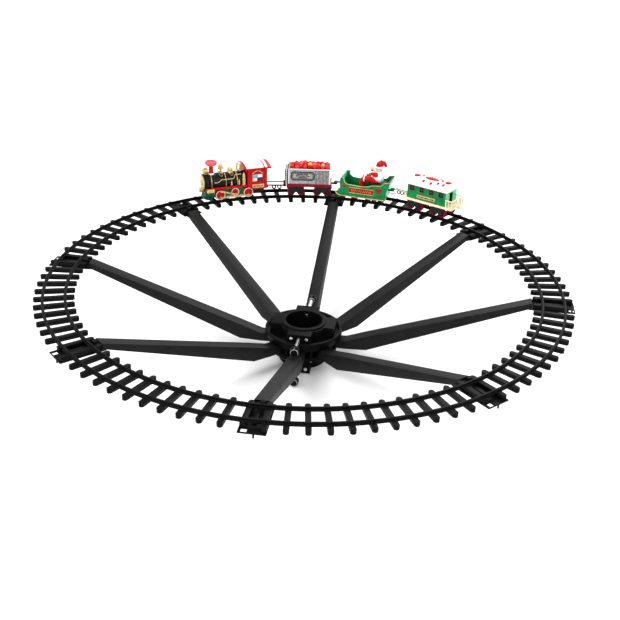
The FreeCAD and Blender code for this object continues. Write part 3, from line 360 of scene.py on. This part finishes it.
def chassis_paint(middle, facing):
    """Red running boards, dark green pilot, dark green on the cylinder blocks as painted shade behind the
    gold cylinders, green frame, black under the cab. Every paint takes a face's middle and its facing."""
    if middle.z < BOARD_LOW and middle.x < REAR_FRAME:
        return 3
    # dark green: the pilot's own colour ahead of x 46.2, painted shade on the cylinder blocks beside it
    if middle.z < BOARD_LOW and (middle.x > 46.2 or middle.x > 43.4 and abs(middle.y) > 15.9):
        return 2
    return int(BOARD_LOW < middle.z < BOARD_TOP and middle.x > -29)


def stack_paint(middle, facing):
    """A rose cap (rose paint as a painted highlight on what is a red cap), a gold ring, a red stem and a
    white foot, from the top down.
    """
    # rose on the cap is a painted highlight; the cap itself is red
    for number, floor in ((2, 69.6), (3, 67), (0, 53.5)):
        if middle.z > floor:
            return number
    return 1


moulded("loco_chassis", [GREEN, RED, DARK_GREEN, BOGIE_BLACK], "locomotive", "green_plastic", 0.4,
        chassis_paint, LOCO, split=(REAR_FRAME,))
moulded("battery_cover", DARK_GREEN, "locomotive", "green_plastic", 0.2)
moulded("loco_boiler", [BOILER, GOLD], "locomotive", "boiler_black", 0.3, place=LOCO,
        paint=lambda middle, facing: int(math.hypot(middle.y, middle.z - BOILER_AXIS) > BOILER_RADIUS + 0.1))
moulded("loco_cab", RED, "locomotive", "red_plastic", 0.6)
moulded("brass_fittings", GOLD, "locomotive", "gold_plastic", 0.4)
moulded("loco_smokestack", [RED, WHITE, ROSE, GOLD], "locomotive", "red_plastic", 0.4, stack_paint, LOCO)
moulded("drawbar", KNOB_BLACK, "drawbar", "black_plastic", 0.3)
moulded("power_switch", KNOB_BLACK, "power_switch", "black_plastic", 0.2)
moulded("battery_cell", STEEL, "locomotive", "cell_jacket", 0.2)
moulded("drive_motor", STEEL, "locomotive", "motor_can", 0.2)
moulded("motor_pinion", WHITE, "motor_pinion", "gear_white", 0.05)
for side, word in SIDES:
    moulded("side_rod_" + word, GOLD, "side_rod_" + word, "gold_plastic", 0.3)
for wheels, forward, lift in (("front_wheelset", LOCO_BASE, 0), ("rear_wheelset", -LOCO_BASE, 0),
                              ("middle_wheel_left", MIDDLE_WHEEL_PLACE, MIDDLE_WHEEL_LIFT),
                              ("middle_wheel_right", MIDDLE_WHEEL_PLACE, MIDDLE_WHEEL_LIFT)):
    moulded(wheels, RED, wheels, "wheel_red", 0.25)
    rims = Shape()
    inner, outer = (6.9, 8.2) if lift else (8.6, 9.9)
    for side in (1, -1):
        if "middle" not in wheels or wheels.endswith("left") == (side > 0):
            rims.lathe([(inner, 0), (outer, 0), (outer, 0.5), (inner, 0.5), (inner, 0)],
                       (0, side * 19.6 - 0.25, 0), "y", 40)
    axle = LOCO @ Matrix.Translation((forward, 0, AXLE_HEIGHT + lift))
    rims.put(wheels + "_rims", axle, PALE, wheels, "wheel_red")


def on_boiler(side, x, z, proud=0.7):
    """A point a little proud of the boiler's side."""
    reach = math.sqrt(max(0.0, BOILER_RADIUS ** 2 - (z - BOILER_AXIS) ** 2))
    away = (BOILER_RADIUS + proud) / BOILER_RADIUS
    return (x, side * reach * away, BOILER_AXIS + (z - BOILER_AXIS) * away)


trim = Shape()
for side in (1, -1):
    trim.tube([on_boiler(side, x, z) for x, z in (
        (40, 37), (34, 37), (30, 39), (26.5, 41.5), (14, 41.5), (1, 41.5), (-1.5, 44.5), (-4, 47.7),
        (-16, 47.7))], 0.8)
    for x, z in ((40, 37), (-16, 47.7)):
        trim.ball(on_boiler(side, x, z), (1.3, 1.3, 1.3), detail=12)
    for middle in (24.5, 2.5):
        trim.tube([on_boiler(side, middle + 4.5, 50.4), on_boiler(side, middle, 46.4),
                   on_boiler(side, middle - 4.5, 50.4)], 0.6)
    for x, top in ((5.3, 38.5), (-10.7, 40.5)):
        trim.lathe([(0, 0), (1.9, 0), (1.9, 1.2), (1.2, 2), (1.8, 4), (1.7, top - 32.5),
                    (0.9, top - 30.5), (0.6, top - 29), (0, top - 29)], (x, side * 18, 29), steps=16)
    trim.lathe([(0, 0), (4.2, 0), (4.2, 1.6), (3.4, 2.4), (3.9, 5), (3.9, 14), (2.6, 16), (3.4, 18),
                (3.4, 21), (2.2, 23), (1.4, 26), (0, 28)], (-21.5, side * 15.8, 25.6), steps=20)
    trim.lathe([(0, 0), (5.1, 0), (5.1, 2), (4.4, 2.6), (4.4, 11.4), (5.1, 12), (5.1, 14), (2, 14.6),
                (0, 14.6)], (43.8, side * 20.3, 20.6), "x", 20)
    trim.lathe([(0, 0), (2.4, 0), (2.4, 12), (0, 12)], (45, side * 20.5, 13.6), "x", 16)
    trim.tube([(-37 - 1.1 * k, side * 24.4, 50.6 + 6 * math.sin(math.pi * k / 20)) for k in range(21)], 0.9)
for height in (57.6, 62.4):
    trim.tube([(24.5 + 1.2 * k, 0, height + 0.9 * abs(k)) for k in (-4, -2, 0, 2, 4)], 0.9)
trim.lathe([(0, 0), (5.6, 0), (7, 1), (7, 2.6), (6, 3.4), (5, 3.4), (4.4, 2), (0, 2)],
           (57, 0, 58.2), "x", 28)
trim.lathe([(14.4, 0), (15.6, 0), (15.6, 1.3), (14.4, 1.3), (14.4, 0)], (61.6, 0, BOILER_AXIS), "x", 40)
trim.put("loco_brass_trim", LOCO, GOLD, "locomotive", "gold_plastic")

plates = Shape()
for side in (1, -1):
    plates.block((-62, -37), flank(side, 23.8, 24.8), (20, 27.4), 0.4)
plates.put("cab_plates", LOCO, GILT, "locomotive", "gold_plastic")
marks = Shape()
for side in (1, -1):
    for start, end in ((-60, -55), (-53.5, -46), (-44.5, -39)):
        marks.block((start, end), flank(side, 24.7, 25.1), (22.6, 24.8), 0.2)
    marks.block((-59.6, -36.4), flank(side, 22.6, 23.3), (40.6, 41.4), 0.1)
    marks.block((-48.4, -47.6), flank(side, 22.6, 23.3), (33, 49), 0.1)
marks.put("cab_plate_marks_and_glazing_bars", LOCO, BROWN, "locomotive", "gold_plastic")
for name, pane, x, z in (("blue", GLASS_BLUE, (-48, -37), (41, 48.5)),
                         ("white", GLASS_WHITE, (-59, -48), (41, 48.5)),
                         ("sand", GLASS_SAND, (-48, -37), (33.5, 41)),
                         ("navy", GLASS_NAVY, (-59, -48), (33.5, 41))):
    glass = Shape()
    for side in (1, -1):
        glass.block(x, flank(side, 22.2, 22.8), z, 0.1)
    glass.put("cab_pane_" + name, LOCO, pane, "locomotive", "red_plastic")

stripe = Shape()
for side in (1, -1):
    stripe.block((-27.6, 46), flank(side, 19.2, 20.3), (23.4, 27.2), 0.3)
stripe.put("board_stripe", LOCO, RED, "locomotive", "green_plastic")


def snow_on_roof(shape, start, end, half, centre, curve, thick):
    """A blanket of snow bent over an arched roof, thin at its edges."""
    outline = []
    for k in range(21):
        y = half * (1 - k / 10.0)
        swell = thick * (1.0 - 0.5 * (y / half) ** 4)
        outline.append((y, centre + math.sqrt((curve + swell) ** 2 - y * y)))
    for k in range(21):
        y = half * (k / 10.0 - 1)
        outline.append((y, centre + math.sqrt((curve - 0.4) ** 2 - y * y)))
    shape.prism(outline, start, end, 0.5)


snow = Shape()
for start, end in ((-60.5, -24.5), (-68.5, -64)):
    snow_on_roof(snow, start, end, 25.8, 4.25, 63.75, 1.9)
snow.put("cab_snow", LOCO, SNOW, "locomotive", "white_plastic")

front = GIFT @ Vector((47.5, 0, 22.5)) / MM
back = LOCO @ Vector((-69.5, 0, 23.4)) / MM
link = Shape()
link.tube([back + (front - back) * k / 6.0 + Vector((0, 0, -0.9 * math.sin(math.pi * k / 6.0)))
           for k in range(7)], 1.2)
peg, eye = LOCO @ Vector((-75, 0, 14.2)) / MM, GIFT @ Vector((51.5, 0, 14.2)) / MM
for share in (0.42, 0.72):
    centre = peg.lerp(eye, share)
    link.tube([centre + Vector((3.6 * math.cos(a * math.pi / 6), 0, 3.6 * math.sin(a * math.pi / 6) - 3.6))
               for a in range(-7, 4)], 1.4)
link.put("upper_link", ROW, KNOB_BLACK, "drawbar", "black_plastic")


# --- gift wagon -----------------------------------------------------------------------

moulded("gift_wagon_body", [SILVER, CRIMSON], "gift_wagon", "silver_plastic", 0.4, place=GIFT,
        paint=lambda middle, facing: int(middle.z < FRAME_EDGE))
pale, lines, panel, crimson = Shape(), Shape(), Shape(), Shape()
for side in (1, -1):
    for x in ((41, 43.7), (-43.7, -40.4)):
        pale.block(x, flank(side, 21, 22.8), (24.6, 57.4), 0.3)
    # pale grey top rim: a painted highlight along the hopper's top edge
    pale.block((-43.6, 43.6), flank(side, 20.2, 22.9), (56.2, 58), 0.4)
    for k in range(10):
        lines.block((-38.6 + 2.9 * k, -37.7 + 2.9 * k), flank(side, 21.8, 22.4), (26, 55.6), 0.15)
    for grow, thick in ((0.0, 1.1), (2.6, 0.5)):
        corners = ((32, 46.4, 0), (32, 39.6, 90), (-4.5, 39.6, 180), (-4.5, 46.4, 270))
        ring = []
        for x, z, start in corners:
            for k in range(6):
                angle = math.radians(start + 18 * k)
                reach = 5 - grow
                ring.append((x + reach * math.sin(angle), side * 22.3, z + reach * math.cos(angle)))
        panel.tube(ring, thick, closed=True, sides=8)
    for x, z in (((3, 12), 46.4), ((13.5, 26), 46.4), ((0, 7), 43), ((8.5, 20), 43), ((21.5, 28), 43),
                 ((5, 23), 39.6)):
        panel.block(x, flank(side, 21.8, 22.5), (z - 0.85, z + 0.85), 0.15)
    crimson.block((-46.8, 46.8), flank(side, 21.4, 23.3), (19.8, 26.2), 0.5)
    pale.block((44.4, 50.2), flank(side, 17, 17.8), (24.5, 54), 0.2)
    for x in (45.2, 50.2):
        lines.tube([(x, side * 18, 24.5), (x, side * 18, 54.8)], 0.8, sides=8)
    for k in range(6):
        lines.tube([(45.2, side * 18, 30 + 4.2 * k), (50.2, side * 18, 30 + 4.2 * k)], 0.55, sides=8)
lines.block((43.2, 44.6), (-19, 19), (25, 57), 0.3)
pale.put("hopper_posts_and_rim_highlight", GIFT, PALE, "gift_wagon", "silver_plastic")
lines.put("hopper_ribs_and_ladders", GIFT, SHADE, "gift_wagon", "silver_plastic")
panel.put("hopper_panel", GIFT, SHADE, "gift_wagon", "silver_plastic")
crimson.put("gift_frame_edges", GIFT, CRIMSON, "gift_wagon", "silver_plastic")

sweets = {name: Shape() for name in ("scarlet", "red", "yellow", "mint", "rose")}
sweets["red"].block((-40.6, 40.6), (-19.6, 19.6), (46, 54), 0.4)
for column in range(9):
    for row in range(4):
        x = -35.6 + 8.9 * column + random.uniform(-1, 1)
        y = -13.6 + 9.1 * row + random.uniform(-0.8, 0.8)
        size = random.uniform(4.6, 5.8)
        z = 53.6 + 4.8 * (1 - (x / 46) ** 2) + 3.4 * (1 - (y / 22) ** 2) + random.uniform(-0.8, 0.8)
        name = {(4, 2): "yellow", (3, 2): "rose", (1, 2): "mint", (6, 1): "rose"}.get((column, row))
        name = name or ("scarlet", "red")[(column + row) % 2]
        sweets[name].ball((x, y, z), (size, size, size * 0.95), 0.05, 20)
for name, paint in (("scarlet", SCARLET), ("red", RED), ("yellow", YELLOW), ("mint", MINT), ("rose", ROSE)):
    nodes = ("gift_load",) if name == "red" else ()
    sweets[name].put("presents_" + name, GIFT, paint, "gift_wagon", "red_plastic", *nodes)


# --- sleigh ---------------------------------------------------------------------------

def sleigh_paint(middle, facing):
    """Green, with dark green on the floor and seat as painted shade inside the body, mint on the curled
    ends.
    """
    if middle.x > 40.5 and middle.z > 30 or middle.x < -44 and facing.x < -0.3:
        return 2
    # upward faces inside the body get dark green: painted shade
    return int(abs(middle.y) < 22.6 and middle.z > 19 and facing.z > 0.4)


def bow(shape, x, y, z, size):
    """A tied ribbon: two loops, two ends and the knot."""
    for way in (1, -1):
        shape.ball((x + way * 0.55 * size, y, z + 0.25 * size),
                   (0.6 * size, 0.16 * size + 0.4, 0.34 * size), 0, 16, ("Y", way * -28))
        shape.ball((x + way * 0.35 * size, y, z - 0.5 * size),
                   (0.22 * size, 0.14 * size + 0.3, 0.55 * size), 0, 16, ("Y", way * -30))
    shape.ball((x, y, z), (0.22 * size, 0.25 * size + 0.5, 0.22 * size), 0, 16)


moulded("sleigh_body", [GREEN, DARK_GREEN, MINT], "sleigh", "green_plastic", 0.5, sleigh_paint, SLEIGH)
gilt, panels = Shape(), Shape()
for side in (1, -1):
    gilt.tube([(x, side * 24.7, z) for x, z in (
        (-60, 8.4), (-56, 6.4), (0, 6), (48, 6), (53, 7), (57.5, 10), (60.4, 14), (60.6, 18.5), (58, 21.5),
        (54.6, 20.8), (53.6, 17.8), (55.8, 16.4))], 0.95)
    gilt.tube([(x, side * 24.4, z) for x, z in (
        (-53.4, 45.4), (-42.4, 43.2), (-36, 36.4), (-18, 34.9), (-8, 31.4), (8, 29.9), (35, 31.4),
        (41.2, 35.6), (43.4, 45.2), (49.6, 44.4))], 0.65)
    gilt.tube([(x, side * 24.7, z) for x, z in ((31, 14.6), (31, 25.4), (-21.5, 25.4), (-21.5, 14.6))],
              0.55, True, 8)
    gilt.tube([(26 - 2.2 * k, side * 25, 20 + 2.4 * (-1) ** k) for k in range(20)], 0.5, sides=8)
    panels.block((-21.5, 31), flank(side, 23.9, 24.9), (14.6, 25.4), 0.3)
    bow(panels, 41.5, side * 24.5, 26.5, 4.6)
    bow(panels, -31.5, side * 24.5, 26, 7.4)
gilt.put("sleigh_gilt_lines", SLEIGH, GILT, "sleigh", "gold_plastic")
panels.put("sleigh_panels_and_bows", SLEIGH, BRICK, "sleigh", "red_plastic")

coat, fur, skin, dark, bell = Shape(), Shape(), Shape(), Shape(), Shape()
coat.ball((-17, 0, 40), (13, 13.4, 8.4), 0.04, 32)
coat.tube([(-25, 0, 68), (-26, 0, 74), (-29.5, 0, 78), (-34.5, 0, 77.6), (-37.6, 0, 74), (-38.6, 0, 70)],
          [8.2, 7.8, 6.2, 4.6, 3.2, 2.2], sides=24)
coat.tube([(-22, 9, 54), (-18, 14, 55), (-14.6, 14.4, 58), (-13.6, 13.4, 62)],
          [4.8, 4.6, 4, 3.4], sides=16)
coat.tube([(-23, -9, 54), (-18, -13.6, 50), (-11, -13.6, 47.4), (-5, -11, 47)],
          [4.8, 4.8, 4, 3.4], sides=16)
for side in (1, -1):
    coat.tube([(-20, side * 6, 41.5), (-8, side * 7, 42.5), (3, side * 7, 42.5)],
              [6.2, 6.4, 5.8], sides=20)
    coat.tube([(6, side * 7, 43), (8.2, side * 7, 38), (9, side * 7, 27)], [4.2, 4.8, 4.4], sides=20)
    fur.lathe([(4.6, 0), (6.6, 0.3), (6.8, 2.4), (4.6, 2.7)], (2, side * 7, 42.3), "x", 20)
    dark.ball((11, side * 7, 24.6), (5.8, 3.9, 3.2), 0, 16)
coat.put("figure_coat_and_hat", SLEIGH, RED, "sleigh", "figure_paint", "sleigh_figure")
fur.ball((-24.4, 0, 47.6), (12, 12.6, 13.6), 0.05, 32)
fur.ball((-16.8, 0, 50.5), (8.2, 9.6, 11), 0.14, 30)
fur.ball((-17.6, 0, 58.4), (5.6, 8.4, 5.4), 0.14, 24)
fur.tube([(-25 + 8 * math.cos(a * math.pi / 12), 8 * math.sin(a * math.pi / 12), 69) for a in range(24)],
         2, True)
fur.ball((-38.8, 0, 68.4), (3, 3, 3), 0.1, 16)
fur.lathe([(2.4, 0), (4.4, 0.2), (4.4, 2.2), (2.4, 2.4)], (-13.6, 13.3, 61), steps=18)
for side in (1, -1):
    fur.ball((-17.2, side * 2.6, 61.4), (1.6, 3, 1.4), 0.1, 14, ("X", side * -18))
    fur.ball((-18.6, side * 2.8, 67), (0.8, 1.6, 0.6), 0, 12)
    dark.ball((-17.7, side * 2.7, 65.2), (0.7, 0.7, 0.8), 0, 12)
fur.put("figure_fur_and_beard", SLEIGH, WHITE, "sleigh", "figure_paint")
skin.ball((-24.4, 0, 64), (7.3, 7.4, 7.8), 0, 28)
skin.ball((-16.8, 0, 63.4), (1.6, 1.5, 1.3), 0, 14)
skin.put("figure_face", SLEIGH, SKIN, "sleigh", "figure_paint")
dark.ball((-13.4, 13.2, 64.6), (2.6, 2.6, 2.4), 0, 14)
dark.ball((-3, -10.4, 47), (2.8, 2.6, 2.4), 0, 14)
dark.put("figure_eyes_mittens_boots", SLEIGH, SHADE, "sleigh", "figure_paint")
bell.lathe([(0, 6.2), (0.8, 6), (1.6, 5), (2.6, 3.6), (3, 1.2), (4, 0), (3.4, -0.4), (0, 0.4)],
           (-13.4, 13.2, 66.4), steps=20)
bell.put("figure_bell", SLEIGH, ORANGE, "sleigh", "gold_plastic")


# --- coach ----------------------------------------------------------------------------

def coach_paint(middle, facing):
    """Cream underframe and railing, mint rear wall, green sides."""
    if middle.z < FRAME_EDGE or middle.x < -44.4:
        return 1
    return 2 if facing.x < -0.9 and middle.x < -43.5 else 0


moulded("coach_body", [GREEN, CREAM, MINT], "coach", "green_plastic", 0.35, coach_paint, COACH)
moulded("coach_roof", SNOW, "coach", "white_plastic", 0.6)
frames, panes, boards, dashes, board_marks_and_roof_shadow = Shape(), Shape(), Shape(), Shape(), Shape()
for side in (1, -1):
    for middle in (-33, -11, 11, 33):
        panes.block((middle - 5, middle + 5), flank(side, 20.6, 21.2), (41, 51.5), 0.05)
        frames.tube([(middle + x, side * 22.1, z)
                     for x, z in ((-5, 41.2), (5, 41.2), (5, 51.2), (-5, 51.2))], 0.75, True, 8)
        frames.block((middle - 0.4, middle + 0.4), flank(side, 21, 22), (41, 51.5), 0.1)
        frames.block((middle - 5, middle + 5), flank(side, 21, 22), (46, 46.8), 0.1)
    boards.block((-21, 21), flank(side, 21.8, 22.8), (28.6, 35), 1.2)
    # dark marks on the name boards are print
    for start, end in ((-18, -9), (-7, 3), (5, 11), (13, 18)):
        board_marks_and_roof_shadow.block((start, end), flank(side, 22.7, 23), (30.8, 32.6), 0.1)
    # dark strip under the eave: painted shadow beneath the roof
    board_marks_and_roof_shadow.block((-44.2, 44.2), flank(side, 21.6, 22.3), (52.2, 53.6), 0.2)
frames.put("coach_window_frames", COACH, BROWN, "coach", "green_plastic")
panes.put("coach_panes", COACH, SHADE, "coach", "green_plastic")
boards.put("coach_name_boards", COACH, GILT, "coach", "gold_plastic")
board_marks_and_roof_shadow.put("coach_board_marks_and_roof_shadow", COACH, SHADE, "coach", "green_plastic")
for start, end in ((29, 42), (-14.5, 17), (-42, -29)):
    dashes.ball(((start + end) / 2, 0, BERRY_HEIGHT), ((end - start) / 2, 6.4, 2.3), 0, 20)
for x, y in ((13, 14), (-4.5, 15.5), (-18.5, 11), (-21.5, -3), (-31, 12), (8, -13), (-12, -13),
             (26, -9)):
    height = BERRY_HEIGHT - ROOF_CURVE + math.sqrt(ROOF_CURVE ** 2 - y * y)
    dashes.ball((x, y, height), (2.6, 4, 2), 0, 14, ("X", -math.degrees(math.asin(y / ROOF_CURVE))))
dashes.put("coach_roof_berries", COACH, RED, "coach", "red_plastic")
for word, paint, rings in (("gilt", GILT, ((53.6, 3.2), (60.8, 2.8))),
                           ("green", GREEN, ((68.6, 3.6), (76.8, 3.2)))):
    scrolls = Shape()
    for x, size in rings:
        turns = [a * math.pi / 8 for a in range(16)]
        scrolls.tube([(x + size * math.cos(a), 0, RING_TOP - size + size * math.sin(a)) for a in turns],
                     1.2, True, 8)
    scrolls.put("coach_coupling_scrolls_" + word, COACH, paint, "coach", "green_plastic")


# --- running gear of the wagons -------------------------------------------------------

for wagon in ("gift", "coach"):
    for end in ("front", "rear"):
        bogie = "%s_bogie_%s" % (wagon, end)
        moulded(bogie, BOGIE_BLACK, bogie, "black_plastic", 0.3)
        for count in (1, 2):
            wheels = "%s_%s_wheelset_%d" % (wagon, end, count)
            moulded(wheels, CRIMSON, wheels, "wheel_red", 0.2)
for wheels in ("sleigh_front_wheelset", "sleigh_rear_wheelset"):
    moulded(wheels, CRIMSON, wheels, "wheel_red", 0.2)


# --- stage, light, camera -------------------------------------------------------------

def area(name, place, target, size, power):
    """A round soft lamp that looks at the target."""
    lamp = bpy.data.lights.new(name, "AREA")
    lamp.shape = "DISK"
    lamp.size = size
    lamp.energy = power
    thing = bpy.data.objects.new(name, lamp)
    thing.location = place
    thing.rotation_euler = (Vector(target) - Vector(place)).to_track_quat("-Z", "Y").to_euler()
    bpy.context.scene.collection.objects.link(thing)


def stage():
    """Pale floor under the hub's foot, even white surroundings, soft lamps."""
    data = bpy.data.meshes.new("floor")
    reach, level = 12.0, -0.0005
    data.from_pydata([(-reach, -reach, level), (reach, -reach, level), (reach, reach, level),
                      (-reach, reach, level)], [], [(0, 1, 2, 3)])
    data.materials.append(surface("floor", (0.98, 0.98, 0.98), 0.9, 0.005, 0.0, size=2))
    floor = bpy.data.objects.new("floor", data)
    bpy.context.scene.collection.objects.link(floor)
    world = bpy.data.worlds.new("studio")
    world.use_nodes = True
    world.node_tree.nodes["Background"].inputs["Color"].default_value = (1, 1, 1, 1)
    world.node_tree.nodes["Background"].inputs["Strength"].default_value = 1.0
    bpy.context.scene.world = world
    middle = (0, 0, 0.1)
    area("key", (-1.6, -1.4, 2.6), middle, 1.6, 60)
    area("fill", (2.0, -1.2, 1.6), middle, 2.0, 25)
    area("back", (0.4, 2.2, 2.0), middle, 1.6, 30)
    bpy.context.scene.view_settings.view_transform = "Standard"


def camera():
    """The photo's camera, as it was fitted to the ring."""
    eye = Vector((0.2025, -1.4234, 0.8429))
    yaw, pitch, roll = math.radians(7.696), math.radians(27.496), math.radians(1.86)
    lens = bpy.data.cameras.new("camera")
    lens.sensor_width = 36.0
    lens.lens = 54.18
    lens.clip_start = 0.05
    thing = bpy.data.objects.new("camera", lens)
    turn = (Matrix.Rotation(yaw, 4, "Z") @ Matrix.Rotation(math.pi / 2 - pitch, 4, "X")
            @ Matrix.Rotation(roll, 4, "Z"))
    thing.matrix_world = Matrix.Translation(eye) @ turn
    bpy.context.scene.collection.objects.link(thing)
    bpy.context.scene.camera = thing


stage()
camera()
